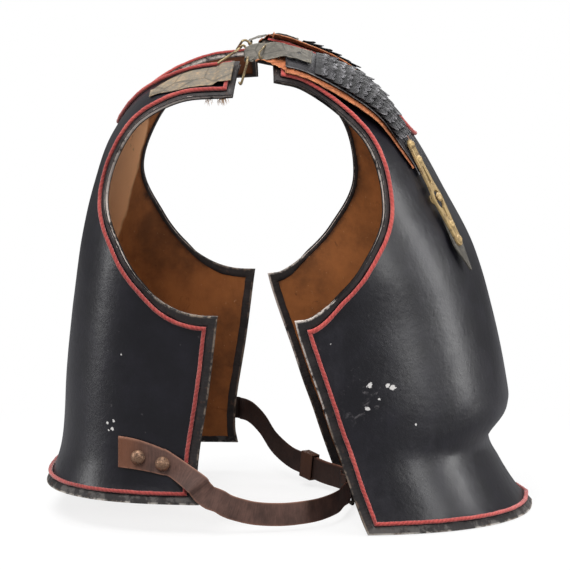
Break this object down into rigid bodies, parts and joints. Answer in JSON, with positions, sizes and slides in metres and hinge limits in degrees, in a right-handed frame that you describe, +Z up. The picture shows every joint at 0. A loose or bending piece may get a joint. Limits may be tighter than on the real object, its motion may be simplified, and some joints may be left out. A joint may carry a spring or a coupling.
{
  "type": "cuirass",
  "caption": "Cuirass: black iron breast and back plates with linings and red piping, scaled shoulder straps with hook plates, and a waist belt.",
  "frame": {"origin": "middle of the bounding box in X and Y, on the surface that the cuirass stands on", "axes": "+X to the wearer's front, +Y to the wearer's left, +Z up"},
  "size_m": [0.4506, 0.3564, 0.4334],
  "materials": {
    "lacquered_iron": "worn black lacquer, softly glossy",
    "lining_leather": "orange-brown leather with dark stains",
    "binding_leather": "black leather with pale worn edges",
    "piping_wool": "faded red wool over a cord",
    "grey_leather": "dry grey leather with tan wear",
    "brass_wire": "dull bent wire",
    "belt_leather": "dark reddish-brown strap leather",
    "copper_rivet": "tarnished copper-brass domes",
    "aged_brass": "aged brass with brown patina",
    "padding_leather": "orange-red quilted leather",
    "strap_leather": "black leather with pale edge lines",
    "scale_steel": "blackened scales with bright rubbed edges",
    "buckle_steel": "dark forged iron"
  },
  "bodies": {
    "back": {"back_plate": "lacquered_iron", "back_lining": "lining_leather", "back_binding": "binding_leather", "back_piping": "piping_wool", "right_back_tab": "grey_leather", "left_back_tab": "grey_leather", "right_wire_clip": "brass_wire", "left_wire_clip": "brass_wire", "right_belt_anchor": "belt_leather", "left_belt_anchor": "belt_leather", "right_belt_rivets": "copper_rivet", "left_belt_rivets": "copper_rivet"},
    "front": {"breast_plate": "lacquered_iron", "breast_lining": "lining_leather", "breast_binding": "binding_leather", "breast_piping": "piping_wool", "right_stud": "aged_brass", "left_stud": "aged_brass"},
    "right_strap": {"right_strap_padding": "padding_leather", "right_strap_leather": "strap_leather", "right_strap_scales": "scale_steel", "right_strap_billet": "grey_leather", "right_hook_plate": "aged_brass", "right_hook_rivets": "aged_brass", "right_pull_tab": "grey_leather"},
    "right_keeper": {"right_wire_keeper": "brass_wire"},
    "left_strap": {"left_strap_padding": "padding_leather", "left_strap_leather": "strap_leather", "left_strap_scales": "scale_steel", "left_strap_billet": "grey_leather", "left_hook_plate": "aged_brass", "left_hook_rivets": "aged_brass", "left_pull_tab": "grey_leather"},
    "belt": {"right_belt": "belt_leather", "left_belt": "belt_leather", "belt_buckle": "buckle_steel"},
    "prong": {"belt_prong": "buckle_steel"},
    "keeper": {"belt_keeper": "belt_leather"}
  },
  "joints": [
    {"name": "front_swing", "type": "hinge", "parent": "back", "child": "front", "pos_m": [-0.038, 0, 0.42], "axis": [0, -1, 0], "range_deg": [-2, 40]},
    {"name": "right_strap_lift", "type": "hinge", "parent": "front", "child": "right_strap", "pos_m": [-0.038, -0.088, 0.42], "axis": [0, -1, 0], "range_deg": [0, 45]},
    {"name": "left_strap_lift", "type": "hinge", "parent": "front", "child": "left_strap", "pos_m": [-0.038, 0.088, 0.42], "axis": [0, -1, 0], "range_deg": [0, 45]},
    {"name": "right_keeper_slide", "type": "slide", "parent": "right_strap", "child": "right_keeper", "axis": [0.9596, -0.2667, 0.089], "range_m": [-0.004, 0.002]},
    {"name": "belt_lift", "type": "hinge", "parent": "back", "child": "belt", "pos_m": [-0.0925, -0.17, 0.06], "axis": [-0.0788, -0.9969, 0], "range_deg": [0, 10]},
    {"name": "prong_swing", "type": "hinge", "parent": "belt", "child": "prong", "pos_m": [0.0499, 0.008, 0.0152], "axis": [0, 0, 1], "range_deg": [0, 12]},
    {"name": "keeper_slide", "type": "slide", "parent": "belt", "child": "keeper", "axis": [0.5992, -0.7865, -0.1498], "range_m": [-0.006, 0.006]}
  ]
}
